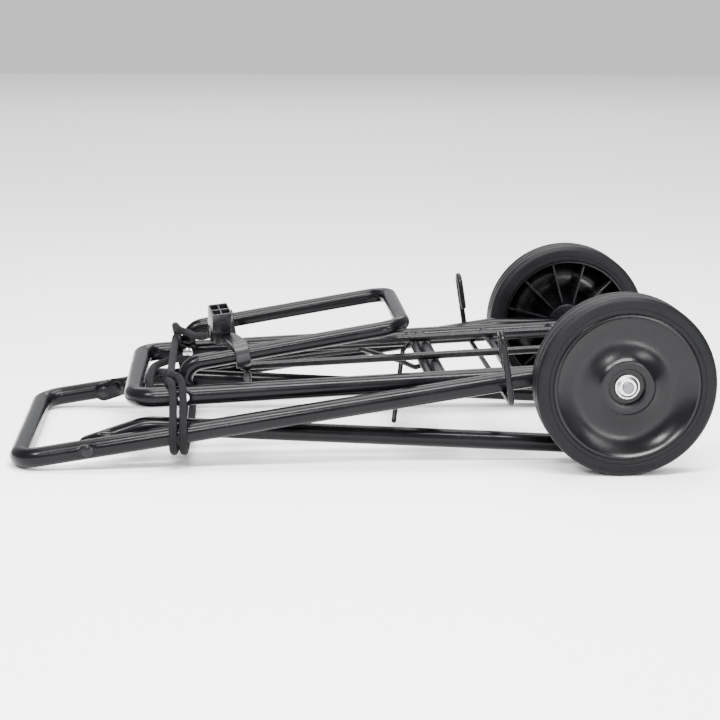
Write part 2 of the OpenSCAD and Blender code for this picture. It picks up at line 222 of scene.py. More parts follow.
# shader groups that several finishes share
def newGroup(name, inputs, outputs):
    group = bpy.data.node_groups.new(name, "ShaderNodeTree")
    for label, kind, value in inputs:
        socket = group.interface.new_socket(name=label, in_out="INPUT", socket_type=kind)
        if value is not None:
            socket.default_value = value
    for label, kind in outputs:
        group.interface.new_socket(name=label, in_out="OUTPUT", socket_type=kind)
    start = group.nodes.new("NodeGroupInput")
    end = group.nodes.new("NodeGroupOutput")
    return group, start, end


def noiseNode(tree, scale, detail, vector=None, scaleFrom=None):
    noise = tree.nodes.new("ShaderNodeTexNoise")
    noise.inputs["Scale"].default_value = scale
    noise.inputs["Detail"].default_value = detail
    if vector:
        tree.links.new(vector, noise.inputs["Vector"])
    if scaleFrom:
        tree.links.new(scaleFrom, noise.inputs["Scale"])
    return noise.outputs["Fac"]


def rangeNode(tree, value, low, high, fromLow=0.35, fromHigh=0.65):
    node = tree.nodes.new("ShaderNodeMapRange")
    tree.links.new(value, node.inputs["Value"])
    node.inputs["From Min"].default_value = fromLow
    node.inputs["From Max"].default_value = fromHigh
    for key, limit in (("To Min", low), ("To Max", high)):
        if hasattr(limit, "is_linked"):
            tree.links.new(limit, node.inputs[key])
        else:
            node.inputs[key].default_value = limit
    return node.outputs["Result"]


def peelGroup():
    # the fine waviness of powder coat, with faint cloudy patches in its gloss
    group, start, end = newGroup(
        "powderCoat",
        [("Grain", "NodeSocketFloat", 420.0), ("Depth", "NodeSocketFloat", 0.12),
         ("Gloss Low", "NodeSocketFloat", 0.2), ("Gloss High", "NodeSocketFloat", 0.3),
         ("Dark", "NodeSocketColor", (0.01, 0.01, 0.011, 1)),
         ("Light", "NodeSocketColor", (0.02, 0.02, 0.022, 1))],
        [("Color", "NodeSocketColor"), ("Roughness", "NodeSocketFloat"), ("Normal", "NodeSocketVector")])
    where = group.nodes.new("ShaderNodeTexCoord").outputs["Object"]
    grain = noiseNode(group, 420, 2, where, start.outputs["Grain"])
    cloud = noiseNode(group, 24, 3, where)
    bump = group.nodes.new("ShaderNodeBump")
    bump.inputs["Distance"].default_value = 0.0004
    group.links.new(start.outputs["Depth"], bump.inputs["Strength"])
    group.links.new(grain, bump.inputs["Height"])
    mix = group.nodes.new("ShaderNodeMix")
    mix.data_type = "RGBA"
    group.links.new(rangeNode(group, cloud, 0.0, 1.0), mix.inputs["Factor"])
    group.links.new(start.outputs["Dark"], mix.inputs["A"])
    group.links.new(start.outputs["Light"], mix.inputs["B"])
    shine = rangeNode(group, cloud, start.outputs["Gloss Low"], start.outputs["Gloss High"])
    group.links.new(mix.outputs["Result"], end.inputs["Color"])
    group.links.new(shine, end.inputs["Roughness"])
    group.links.new(bump.outputs["Normal"], end.inputs["Normal"])
    return group


def edgeGroup():
    # a mask of worn or polished edges from the surface's pointedness
    group, start, end = newGroup(
        "edgeWear",
        [("Amount", "NodeSocketFloat", 0.5), ("Speckle", "NodeSocketFloat", 260.0)],
        [("Mask", "NodeSocketFloat")])
    where = group.nodes.new("ShaderNodeTexCoord").outputs["Object"]
    speckle = noiseNode(group, 260, 3, where, start.outputs["Speckle"])
    point = group.nodes.new("ShaderNodeNewGeometry").outputs["Pointiness"]
    edge = rangeNode(group, point, 0.0, 1.0, 0.54, 0.62)
    multiply = group.nodes.new("ShaderNodeMath")
    multiply.operation = "MULTIPLY"
    group.links.new(edge, multiply.inputs[0])
    group.links.new(rangeNode(group, speckle, 0.2, 1.0, 0.4, 0.6), multiply.inputs[1])
    scaled = group.nodes.new("ShaderNodeMath")
    scaled.operation = "MULTIPLY"
    group.links.new(multiply.outputs[0], scaled.inputs[0])
    group.links.new(start.outputs["Amount"], scaled.inputs[1])
    group.links.new(scaled.outputs[0], end.inputs["Mask"])
    return group


def newMaterial(name, **sockets):
    material = bpy.data.materials.new(name)
    material.use_nodes = True
    shader = material.node_tree.nodes["Principled BSDF"]
    for key, value in sockets.items():
        shader.inputs[key.replace("_", " ")].default_value = value
    return material, shader


def coatMaterial(name, dark, light, gloss, grain, depth, edgeColor, edgeAmount, **sockets):
    # gloss is the lowest and highest roughness; sockets go straight to the shader
    material, shader = newMaterial(name, **sockets)
    tree = material.node_tree
    coat = tree.nodes.new("ShaderNodeGroup")
    coat.node_tree = powder
    coat.inputs["Grain"].default_value = grain
    coat.inputs["Depth"].default_value = depth
    coat.inputs["Gloss Low"].default_value = gloss[0]
    coat.inputs["Gloss High"].default_value = gloss[1]
    coat.inputs["Dark"].default_value = (*dark, 1)
    coat.inputs["Light"].default_value = (*light, 1)
    edge = tree.nodes.new("ShaderNodeGroup")
    edge.node_tree = wearMask
    edge.inputs["Amount"].default_value = edgeAmount
    mix = tree.nodes.new("ShaderNodeMix")
    mix.data_type = "RGBA"
    tree.links.new(edge.outputs["Mask"], mix.inputs["Factor"])
    tree.links.new(coat.outputs["Color"], mix.inputs["A"])
    mix.inputs["B"].default_value = (*edgeColor, 1)
    tree.links.new(mix.outputs["Result"], shader.inputs["Base Color"])
    tree.links.new(coat.outputs["Roughness"], shader.inputs["Roughness"])
    tree.links.new(coat.outputs["Normal"], shader.inputs["Normal"])
    return material


powder = peelGroup()
wearMask = edgeGroup()
finishes = {
    "black_tube": coatMaterial(
        "glossBlackTube", dark=(0.0016, 0.0016, 0.0022), light=(0.003, 0.003, 0.0038), gloss=(0.2, 0.28),
        grain=380, depth=0.08, edgeColor=(0.02, 0.02, 0.022), edgeAmount=0.3,
        Coat_Weight=0.03, Coat_Roughness=0.1, Specular_IOR_Level=0.13),
    "black_wire": coatMaterial(
        "glossBlackWire", dark=(0.003, 0.003, 0.0036), light=(0.005, 0.005, 0.006), gloss=(0.24, 0.34),
        grain=520, depth=0.1, edgeColor=(0.02, 0.02, 0.022), edgeAmount=0.3,
        Coat_Weight=0.03, Coat_Roughness=0.14, Specular_IOR_Level=0.13),
    "black_rivet": coatMaterial(
        "paintedRivet", dark=(0.003, 0.003, 0.0036), light=(0.006, 0.006, 0.007), gloss=(0.25, 0.4),
        grain=700, depth=0.2, edgeColor=(0.03, 0.03, 0.033), edgeAmount=0.5,
        Specular_IOR_Level=0.2),
    "zinc": coatMaterial(
        "brightZinc", dark=(0.5, 0.5, 0.52), light=(0.66, 0.66, 0.68), gloss=(0.18, 0.34),
        grain=900, depth=0.15, edgeColor=(0.8, 0.8, 0.8), edgeAmount=0.4,
        Metallic=1.0),
    "axle_steel": coatMaterial(
        "greyAxleSteel", dark=(0.08, 0.08, 0.085), light=(0.16, 0.16, 0.17), gloss=(0.3, 0.45),
        grain=900, depth=0.15, edgeColor=(0.3, 0.3, 0.3), edgeAmount=0.4,
        Metallic=1.0),
    "zinc_rivet": coatMaterial(
        "domedRivet", dark=(0.6, 0.6, 0.61), light=(0.75, 0.75, 0.75), gloss=(0.16, 0.28),
        grain=900, depth=0.12, edgeColor=(0.85, 0.85, 0.85), edgeAmount=0.4,
        Metallic=1.0),
    "hub_plastic": coatMaterial(
        "hubPlastic", dark=(0.0015, 0.0015, 0.002), light=(0.0028, 0.0028, 0.0035), gloss=(0.2, 0.3),
        grain=900, depth=0.1, edgeColor=(0.02, 0.02, 0.022), edgeAmount=0.35,
        Specular_IOR_Level=0.2),
    "bush_plastic": coatMaterial(
        "bushPlastic", dark=(0.1, 0.1, 0.105), light=(0.17, 0.17, 0.175), gloss=(0.4, 0.55),
        grain=900, depth=0.2, edgeColor=(0.3, 0.3, 0.3), edgeAmount=0.3),
    "tyre_rubber": coatMaterial(
        "tyreRubber", dark=(0.0025, 0.0025, 0.0031), light=(0.0045, 0.0045, 0.0054), gloss=(0.46, 0.6),
        grain=1500, depth=0.3, edgeColor=(0.035, 0.035, 0.037), edgeAmount=0.4,
        Specular_IOR_Level=0.12),
    "plug_plastic": coatMaterial(
        "plugPlastic", dark=(0.004, 0.004, 0.0045), light=(0.007, 0.007, 0.0078), gloss=(0.4, 0.5),
        grain=800, depth=0.2, edgeColor=(0.05, 0.05, 0.05), edgeAmount=0.3),
    "hook_plastic": coatMaterial(
        "hookPlastic", dark=(0.0035, 0.0035, 0.0043), light=(0.007, 0.007, 0.0082), gloss=(0.26, 0.38),
        grain=700, depth=0.18, edgeColor=(0.05, 0.05, 0.055), edgeAmount=0.5,
        Specular_IOR_Level=0.26),
    "elastic": coatMaterial(
        "braidedElastic", dark=(0.0035, 0.0035, 0.0044), light=(0.0095, 0.0095, 0.011), gloss=(0.65, 0.8),
        grain=1800, depth=0.6, edgeColor=(0.025, 0.025, 0.028), edgeAmount=0.5,
        Specular_IOR_Level=0.12),
}
print("finishes made")
placeCamera()

# the elastic cord; its points are in millimetres from the axle's line and the floor
cordLook = {
    "thickness": 8 * mm,
    "ribs": 22,
    "ribDepth": 0.35 * mm,
    "wraps": [
        [-390, 82, 62], [-405, 78, 64], [-425, 62, 70], [-446, 37, 76], [-458, 12, 78],
        [-469, -12, 78], [-472, -38, 77], [-473, -58, 73], [-472, -70, 65], [-472, -66, 56],
        [-474, -50, 51], [-476, -20, 51], [-477, 16, 52], [-476, 50, 53], [-472, 66, 54],
        [-464, 58, 57], [-459, 30, 60], [-456, -10, 63], [-454, -50, 67], [-453, -84, 71],
        [-453, -103, 77], [-452, -113, 82], [-450, -122, 84], [-448, -132, 81], [-447, -139, 72],
        [-447, -147, 58], [-447, -156, 46], [-447, -160, 35], [-447, -155, 23], [-446, -144, 18],
        [-445, -110, 17], [-443, -70, 17], [-441, -30, 17], [-440, 30, 17], [-440, 70, 17],
        [-440, 110, 17], [-441, 144, 18], [-442, 155, 23], [-443, 160, 35], [-444, 156, 46],
        [-446, 147, 58], [-448, 139, 72], [-449, 132, 81], [-450, 122, 84], [-450, 103, 86],
        [-450, 60, 87], [-450, 0, 88], [-450, -60, 88], [-450, -103, 88], [-446, -114, 89],
        [-441, -124, 88], [-438, -134, 83], [-437, -141, 72], [-437, -148, 58], [-437, -156, 46],
        [-437, -160, 35], [-437, -155, 23], [-436, -144, 18], [-435, -110, 17], [-433, -70, 17],
        [-432, -30, 17], [-431, 30, 17], [-431, 70, 17], [-431, 110, 17], [-432, 144, 18],
        [-433, 155, 23], [-434, 160, 35], [-436, 158, 47], [-440, 151, 60], [-445, 145, 74],
        [-449, 139, 86], [-450, 131, 92], [-450, 125, 95]],
    "tail": [
        [-450, 123.5, 95.8], [-450, 112, 99], [-445, 92, 98], [-436, 74, 98], [-428, 50, 99], [-420, 20, 104],
        [-412, -10, 111], [-406, -34, 118]],
}


def fromAxle(point):
    # the cord's points are written in millimetres from the axle's line and the floor
    return Vector((axleAt.x + point[0] * mm, point[1] * mm, point[2] * mm))


def ribbedSection():
    # a circle whose every other point is pulled in, as the strands of a braid
    clearSelection()
    bpy.ops.curve.primitive_nurbs_circle_add(radius=cordLook["thickness"] / 2)
    circle = bpy.context.object
    shape = circle.data
    shape.splines.clear()
    spline = shape.splines.new("POLY")
    count = cordLook["ribs"] * 3
    spline.points.add(count - 1)
    for k, point in enumerate(spline.points):
        a = 2 * math.pi * k / count
        r = cordLook["thickness"] / 2 - (cordLook["ribDepth"] if k % 3 == 0 else 0)
        point.co = (r * math.cos(a), r * math.sin(a), 0, 1)
    spline.use_cyclic_u = True
    return circle


def makeCord(name, points, steps):
    route = smoothRoute([fromAxle(p) for p in points], steps)
    section = ribbedSection()
    piece = sweptTube(route, cordLook["thickness"] / 2, section=section)
    bpy.data.objects.remove(section)
    finishPiece(piece, name, finishes["elastic"], 60)
    return piece, route


wraps, wrapsRoute = makeCord("cord_wraps", cordLook["wraps"], 5)
tail, tailRoute = makeCord("cord_tail", cordLook["tail"], 8)
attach(wraps, "platform")
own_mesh(wraps)
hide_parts("bungee_wraps")
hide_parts("bungee_tail")
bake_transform(tail)
print("cords made", round(routeLength(wrapsRoute), 3), round(routeLength(tailRoute), 3))

# bent tubes: the back frame, the handle, the platform and its leg
def bentRoute(corners, step):
    # straight runs between corners, each corner (place, radius) rounded to its radius
    route = [corners[0][0]]
    for (before, _), (place, radius), (after, _) in zip(corners, corners[1:], corners[2:]):
        back = (before - place).normalized()
        ahead = (after - place).normalized()
        turn = math.pi - back.angle(ahead)
        reach = radius * math.tan(turn / 2)
        start = place + back * reach
        centre = place + (back + ahead).normalized() * radius / math.cos(turn / 2)
        axis = back.cross(ahead)
        spoke = start - centre
        count = max(math.ceil(radius * turn / step), 6)
        addRun(route, start, step)
        for k in range(1, count + 1):
            route.append(centre + Matrix.Rotation(-turn * k / count, 3, axis) @ spoke)
    addRun(route, corners[-1][0], step)
    return route


def addRun(route, stop, step):
    start = route[-1]
    count = max(math.ceil((stop - start).length / step), 1)
    route += [start.lerp(stop, k / count) for k in range(1, count + 1)]


def mirrored(corners):
    # a half frame's corners, followed by the same ones across the cart
    return corners + [(Vector((p.x, -p.y, p.z)), r) for p, r in reversed(corners)]


def pressDimple(tube, centre, radius):
    # the wall is pushed out of a ball at centre
    for vertex in tube.data.vertices:
        away = vertex.co - centre
        if away.length < radius:
            vertex.co = centre + away.normalized() * radius


def flattenEnd(tube, pivot, way, half, look):
    # the tube's end is pressed into a flat eye on its outer side, rounded past the pivot
    outer = half + look["tube"] / 2
    for vertex in tube.data.vertices:
        along = (vertex.co - pivot).dot(way)
        beside = vertex.co - pivot - way * along
        if along > look["eyeReach"] or Vector((beside.x, beside.z)).length > look["tube"]:
            continue
        flat = min(max((look["eyeReach"] - along) / look["eyeBlend"], 0), 1)
        flat = flat * flat * (3 - 2 * flat)
        side = 1 if vertex.co.y > 0 else -1
        depth = (outer - abs(vertex.co.y)) * (1 - flat * (1 - look["eyeThick"] / look["tube"]))
        beside.y = 0
        roundness = math.sqrt(max(1 - (along / look["eyeRound"]) ** 2, 0.04)) if along < 0 else 1.0
        place = pivot + way * along + beside * (1 + 0.16 * flat) * roundness
        vertex.co = (place.x, side * (outer - depth), place.z)


def slant(degrees):
    return Vector((math.cos(math.radians(degrees)), 0, math.sin(math.radians(degrees))))


tubeStep = 2.5 * mm
frameLook = {
    "tube": 20 * mm,
    "half": 143.5 * mm,
    "over": 13 * mm,
    "knee": -90 * mm,
    "kneeBend": 60 * mm,
    "end": -602 * mm,
    "endBend": 24 * mm,
    "dimpleAt": -532 * mm,
    "dimple": 12 * mm,
    "dimpleDepth": 3 * mm,
}
platformLook = {
    "tube": 20 * mm,
    "half": 122 * mm,
    "over": 13 * mm,
    "length": 488 * mm,
    "endBend": 24 * mm,
    "droop": 2.95,  # degrees
    "lift": 2.3 * mm,
    "dimpleAt": -437 * mm,
    "dimple": 12 * mm,
    "dimpleDepth": 3 * mm,
}
handleLook = {
    "tube": 19 * mm,
    "half": 122.5 * mm,
    "neck": 60 * mm,
    "neckAngle": 18.2,
    "kneeBend": 50 * mm,
    "end": 50 * mm,
    "endHigh": 11.5 * mm,
    "endBend": 36 * mm,
    "eyeThick": 5 * mm,
    "eyeReach": 27 * mm,
    "eyeBlend": 15 * mm,
    "eyeRound": 11 * mm,
}
legLook = {
    "tube": 16 * mm,
    "half": 103.1 * mm,
    "neck": 28.5 * mm,
    "neckAngle": 86.95,
    "neckBend": 20 * mm,
    "legAngle": 9.8,
    "length": 225 * mm,
    "endBend": 26 * mm,
    "eyeThick": 5 * mm,
    "eyeReach": 14 * mm,
    "eyeBlend": 7 * mm,
    "eyeRound": 9 * mm,
}


def finishTube(tube, name, node, body):
    finishPiece(tube, name, finishes["black_tube"], 50)
    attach(tube, body)
    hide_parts(node)


def pivotOf(node):
    low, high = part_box(node)
    return Vector(((low[0] + high[0]) / 2, 0, (low[2] + high[2]) / 2))


def makeBackFrame():
    look = frameLook
    endHigh = look["tube"] / 2
    rise = (axleAt.z - endHigh) / (look["knee"] - look["end"])
    y = -look["half"]
    corners = mirrored([
        (Vector((axleAt.x + look["over"], y, axleAt.z)), 0),
        (Vector((axleAt.x + look["knee"], y, axleAt.z)), look["kneeBend"]),
        (Vector((axleAt.x + look["end"], y, endHigh)), look["endBend"])])
    tube = sweptTube(bentRoute(corners, tubeStep), look["tube"] / 2, sides=48)
    high = endHigh + (look["dimpleAt"] - look["end"]) * rise
    out = look["half"] + look["tube"] / 2 + look["dimple"] - look["dimpleDepth"]
    for side in (-1, 1):
        pressDimple(tube, Vector((axleAt.x + look["dimpleAt"], side * out, high)), look["dimple"])
    finishTube(tube, "back_frame_tube", "main_frame", "back_frame")


def makePlatform():
    look = platformLook
    lie = Matrix.Translation((axleAt.x, 0, axleAt.z)) @ Matrix.Rotation(-math.radians(look["droop"]), 4, "Y")
    y = -look["half"]
    corners = [
        (lie @ Vector((x, y * side, look["lift"])), bend)
        for x, side, bend in ((look["over"], 1, 0), (-look["length"], 1, look["endBend"]),
                              (-look["length"], -1, look["endBend"]), (look["over"], -1, 0))]
    tube = sweptTube(bentRoute(corners, tubeStep), look["tube"] / 2, sides=48)
    out = look["half"] + look["tube"] / 2 + look["dimple"] - look["dimpleDepth"]
    for side in (-1, 1):
        pressDimple(tube, lie @ Vector((look["dimpleAt"], side * out, look["lift"])), look["dimple"])
    finishTube(tube, "platform_tube", "platform_frame", "platform")


def makeHandle():
    look = handleLook
    pivot = pivotOf("handle_rivets")
    way = slant(look["neckAngle"])
    y = Vector((0, -look["half"], 0))
    knee = pivot + way * look["neck"] + y
    end = Vector((axleAt.x + look["end"], y.y, look["endHigh"]))
    corners = mirrored([(pivot + y - way * 9 * mm, 0), (knee, look["kneeBend"]), (end, look["endBend"])])
    tube = sweptTube(bentRoute(corners, tubeStep), look["tube"] / 2, sides=48)
    flattenEnd(tube, pivot, way, look["half"], look)
    finishTube(tube, "handle_tube", "handle_frame", "handle")


def makeLeg():
    look = legLook
    pivot = pivotOf("leg_rivets")
    way = slant(look["neckAngle"])
    y = Vector((0, -look["half"], 0))
    corner = pivot + way * look["neck"] + y
    end = corner + slant(look["legAngle"]) * look["length"]
    corners = mirrored([(pivot + y - way * 7.5 * mm, 0), (corner, look["neckBend"]), (end, look["endBend"])])
    tube = sweptTube(bentRoute(corners, 1.5 * mm), look["tube"] / 2, sides=40)
    flattenEnd(tube, pivot, way, look["half"], look)
    finishTube(tube, "leg_tube", "leg_frame", "leg")


makeBackFrame()
makePlatform()
makeHandle()
makeLeg()
print("tubes made")

# wires and rods; the stay wires' points are in millimetres from the cross tube's middle
gridLook = {
    "rod": 4 * mm,
    "rodHigh": 12 * mm,  # above the platform's plane
    "rodRow": 50 * mm,
    "rodSpan": (-376 * mm, -24 * mm),
    "crossAt": (-372 * mm, -188 * mm, -104 * mm, -30 * mm),
    "crossHigh": 4 * mm,
    "crossHalf": 113 * mm,
    "tubeAt": -176 * mm,
    "tube": 8 * mm,
    "tubeHalf": 111.8 * mm,
    "stay": 2.75 * mm,
    "longStay": [
        [-200, 94, -14], [-160, 96, -12], [-110, 98, -9], [-72, 98, -7], [-66, 94, -6], [-62, 86, -6],
        [-33, 24, -6], [-20, -20, -5], [-16, -27, -4], [-8.5, -31, -1]],
    "shortStay": [[-8.3, 104, -2], [-14, 103, -5], [-19, 100, -9], [-22, 97, -16], [-40, 20, -72]],
}
hookWireLook = {
    "wire": 3 * mm,
    "at": -116 * mm,
    "half": 193 * mm,
    "rise": 71 * mm,
    "bow": 11 * mm,
    "corner": 10 * mm,
    "tip": 24 * mm,
}


def platformLie():
    look = platformLook
    droop = Matrix.Rotation(-math.radians(look["droop"]), 4, "Y")
    return Matrix.Translation((axleAt.x, 0, axleAt.z)) @ droop @ Matrix.Translation((0, 0, look["lift"]))


def roundedEnds(rod, ends, radius):
    # a small ball closes each cut end of a wire
    parts = [rod]
    for end in ends:
        clearSelection()
        bpy.ops.mesh.primitive_uv_sphere_add(segments=24, ring_count=12, radius=radius, location=end)
        ball = bpy.context.object
        bpy.ops.object.transform_apply(location=True, rotation=False, scale=False)
        parts.append(ball)
    return joinPieces(parts)


def makeRods(name, node, lines, radius, slotName, sides=24):
    # each line is a list of places; balls close the ends
    parts = []
    for line in lines:
        rod = sweptTube(line, radius, sides=sides)
        parts.append(roundedEnds(rod, (line[0], line[-1]), radius))
    rods = joinPieces(parts)
    finishPiece(rods, name, finishes[slotName], 50)
    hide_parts(node)
    return rods


def makeGrid():
    look = gridLook
    lie = platformLie()
    cross = [[lie @ Vector((x, -look["crossHalf"], look["crossHigh"])),
              lie @ Vector((x, look["crossHalf"], look["crossHigh"]))] for x in look["crossAt"]]
    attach(makeRods("grid_cross_rods", "platform_cross_rods", cross, look["rod"], "black_wire"), "platform")
    low, high = look["rodSpan"]
    long = [[lie @ Vector((x, side * look["rodRow"], look["rodHigh"])) for x in (low, high)]
            for side in (-1, 1)]
    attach(makeRods("grid_long_rods", "platform_long_rods", long, look["rod"], "black_wire"), "platform")
    shift = Vector((look["tubeAt"], 0, 0))
    stays = [[lie @ (Vector(p) * mm + shift) for p in points]
             for points in (look["longStay"], look["shortStay"])]
    stays = [smoothRoute(points, 5) for points in stays]
    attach(makeRods("stay_rods", "stay_wires", stays, look["stay"], "black_wire"), "platform")
    tube = sweptTube([lie @ Vector((look["tubeAt"], side * look["tubeHalf"], 0)) for side in (-1, 1)],
                     look["tube"], sides=40)
    finishPiece(tube, "grid_cross_tube", finishes["black_tube"], 50)
    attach(tube, "platform")
    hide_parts("platform_cross_tube")


def makeHookWire():
    look = hookWireLook
    slope = math.atan((axleAt.z - frameLook["tube"] / 2) / (frameLook["knee"] - frameLook["end"]))
    high = frameLook["tube"] / 2 + (look["at"] - frameLook["end"]) * math.tan(slope)
    lie = (Matrix.Translation((axleAt.x + look["at"], 0, high)) @ Matrix.Rotation(-slope, 4, "Y")
           @ Matrix.Translation((0, 0, -frameLook["tube"] / 2 - look["wire"])))
    inner = look["half"] - 2 * look["bow"]
    bend = look["bow"] - 0.01 * mm
    half = [((-inner, look["rise"] - look["bow"] - look["tip"]), 0), ((-inner, look["rise"]), bend),
            ((-look["half"], look["rise"]), bend), ((-look["half"], 0), look["corner"])]
    corners = [(Vector((0, y, z)), r) for (y, z), r in half]
    corners = [(lie @ place, r) for place, r in mirrored(corners)]
    route = bentRoute(corners, 2 * mm)
    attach(makeRods("cord_hook_rod", "cord_hook_wire", [route], look["wire"], "black_wire"), "back_frame")


makeGrid()
makeHookWire()
print("rods made")

# plastic hooks at the cord's ends
upperHook = {
    "along": 56 * mm,  # from the leg's corner
    "side": -1,
    "swing": 14,  # degrees about the leg's upward normal
    "seat": 0.0,
    "inside": 10.6 * mm,  # inner radius of the bow
    "arc": (240, 90),
    "band": 4 * mm,
    "width": 15 * mm,
    "run": (0.0, 50 * mm),  # how far the strap runs on from the bow's end: up, across
    "crown": 1.2 * mm,
    "lean": (5, 26),  # degrees the head leans: along the leg, outwards
}
lowerHook = {
    "along": 45 * mm,
    "side": 1,
    "swing": 0,
    "seat": -2.55 * mm,
    "inside": 10.6 * mm,
    "arc": (10, 180),
    "band": 4 * mm,
    "width": 12 * mm,
    "run": (-26 * mm, 0.0),
    "crown": 0.0,
    "lean": (0, 0),
}
headLook = {
    "neck": 16 * mm,
    "height": 22 * mm,
    "cell": 12 * mm,  # depth of the open cells
    "wall": 1.3 * mm,
    "fins": 8,
}


def hookAxes(look):
    along = slant(legLook["legAngle"])
    up = Vector((-along.z, 0, along.x))
    corner = pivotOf("leg_rivets") + slant(legLook["neckAngle"]) * legLook["neck"]
    beside = Vector((0, look["side"] * legLook["half"], 0))
    origin = corner + along * look["along"] + beside + up * look["seat"]
    swing = math.radians(look["swing"])
    wide = along * math.cos(swing) + Vector((0, math.sin(swing), 0))
    across = -along * math.sin(swing) + Vector((0, math.cos(swing), 0))
    return Matrix((
        (wide.x, across.x, up.x, origin.x), (wide.y, across.y, up.y, origin.y),
        (wide.z, across.z, up.z, origin.z), (0, 0, 0, 1)))


def bandPath(look):
    middle = look["inside"] + look["band"] / 2
    start, stop = look["arc"]
    path = []
    for k in range(25):
        a = math.radians(start + (stop - start) * k / 24)
        path.append((middle * math.cos(a), middle * math.sin(a)))
    up, across = look["run"]
    y, z = path[-1]
    for k in range(1, 17):
        t = k / 16
        path.append((y + across * t, z + up * t + look["crown"] * math.sin(math.pi * t)))
    return path


def roundEdges(piece, width, segments):
    applyModifier(piece, "BEVEL", width=width, segments=segments,
                  limit_method="ANGLE", angle_limit=math.radians(50))


def makeBand(look):
    # a flat strap: a grid laid along the path, given its thickness and rounded edges
    path = bandPath(look)
    clearSelection()
    bpy.ops.mesh.primitive_grid_add(x_subdivisions=6, y_subdivisions=len(path) - 1, size=1)
    band = bpy.context.object
    for vertex in band.data.vertices:
        place = path[round((vertex.co.y + 0.5) * (len(path) - 1))]
        rim = 0.25 * mm if abs(vertex.co.x) > 0.45 else 0.0
        vertex.co = (vertex.co.x * look["width"], place[0], place[1] + rim)
    applyModifier(band, "SOLIDIFY", thickness=look["band"] - 0.5 * mm, offset=0)
    roundEdges(band, 0.7 * mm, 3)
    return band


def makeHead(base, radius, sign, fins, scale=1.0):
    # a funnel with fins that carries a block with four open cells
    look = headLook
    neck, height = look["neck"] * scale, look["height"] * scale
    clearSelection()
    bpy.ops.mesh.primitive_cone_add(
        vertices=40, radius1=radius - 2.4 * mm * scale, radius2=radius * 0.92, depth=neck,
        location=base + Vector((0, 0, sign * neck / 2)), rotation=(0 if sign > 0 else math.pi, 0, 0))
    funnel = bpy.context.object
    bpy.ops.object.transform_apply(location=True, rotation=True, scale=True)
    roundEdges(funnel, 0.6 * mm, 2)
    parts = [funnel]
    for k in range(fins):
        fin = block((radius - 3.4 * mm * scale, -0.6 * mm, 0.5 * mm),
                    (radius + 0.2 * mm, 0.6 * mm, neck), 0.3 * mm)
        turn = Matrix.Rotation(2 * math.pi * (k + 0.5) / fins, 4, "Z")
        flip = Matrix.Rotation(0 if sign > 0 else math.pi, 4, "X")
        fin.data.transform(Matrix.Translation(base) @ flip @ turn @ fin.matrix_world)
        fin.matrix_world = Matrix.Identity(4)
        parts.append(fin)
    side = radius * 1.72
    clearSelection()
    bpy.ops.mesh.primitive_cube_add(size=1, location=(0, 0, 0))
    crown = bpy.context.object
    crown.scale = (side, side, height)
    bpy.ops.object.transform_apply(location=False, rotation=False, scale=True)
    bpy.ops.object.mode_set(mode="EDIT")
    mesh = bmesh.from_edit_mesh(crown.data)
    for edge in mesh.edges:
        way = edge.verts[0].co - edge.verts[1].co
        edge.select_set(abs(way.z) > height / 2)
    bmesh.update_edit_mesh(crown.data)
    bpy.ops.mesh.bevel(offset=radius * 0.34, segments=5, affect="EDGES")
    mesh = bmesh.from_edit_mesh(crown.data)
    for face in mesh.faces:
        face.select_set(face.normal.z > 0.9)
    bmesh.update_edit_mesh(crown.data)
    bpy.ops.mesh.inset(thickness=look["wall"])
    bpy.ops.mesh.extrude_region_move(TRANSFORM_OT_translate={"value": (0, 0, -look["cell"] * scale)})
    bpy.ops.object.mode_set(mode="OBJECT")
    roundEdges(crown, 0.4 * mm, 2)
    reach = side / 2 - look["wall"] * 0.5
    low = height / 2 - look["cell"] * scale - 0.2 * mm
    walls = [
        block((-look["wall"] / 2, -reach, low), (look["wall"] / 2, reach, height / 2 - 0.5 * mm), 0.3 * mm),
        block((-reach, -look["wall"] / 2, low), (reach, look["wall"] / 2, height / 2 - 0.5 * mm), 0.3 * mm),
    ]
    crown = joinPieces([crown] + walls)
    lift = base + Vector((0, 0, sign * (neck + height / 2)))
    flip = Matrix.Rotation(0 if sign > 0 else math.pi, 4, "X")
    crown.data.transform(Matrix.Translation(lift) @ flip @ crown.matrix_world)
    crown.matrix_world = Matrix.Identity(4)
    parts.append(crown)
    return parts


def makeHook(name, node, look, headBase, radius, sign, fins, scale):
    parts = makeHead(headBase, radius, sign, fins, scale)
    lean = Matrix.Translation(headBase) @ Matrix.Rotation(math.radians(look["lean"][0]), 4, "Y")
    lean = lean @ Matrix.Rotation(math.radians(look["lean"][1]), 4, "X")
    for part in parts:
        part.data.transform(lean @ Matrix.Translation(-headBase) @ part.matrix_world)
        part.matrix_world = Matrix.Identity(4)
    parts.insert(0, makeBand(look))
    hook = joinPieces(parts)
    hook.data.transform(hookAxes(look) @ hook.matrix_world)
    hook.matrix_world = Matrix.Identity(4)
    finishPiece(hook, name, finishes["hook_plastic"], 40)
    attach(hook, "leg")
    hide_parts(node)
    return hook


makeHook("upper_cord_hook", "bungee_hook_upper", upperHook,
         Vector((-8 * mm, 49 * mm, 10.6 * mm)), 11.5 * mm, 1, headLook["fins"], 1.0)
makeHook("lower_cord_hook", "bungee_hook_lower", lowerHook,
         Vector((0, -19.6 * mm, -17 * mm)), 6.8 * mm, -1, 6, 0.45)
print("hooks made")

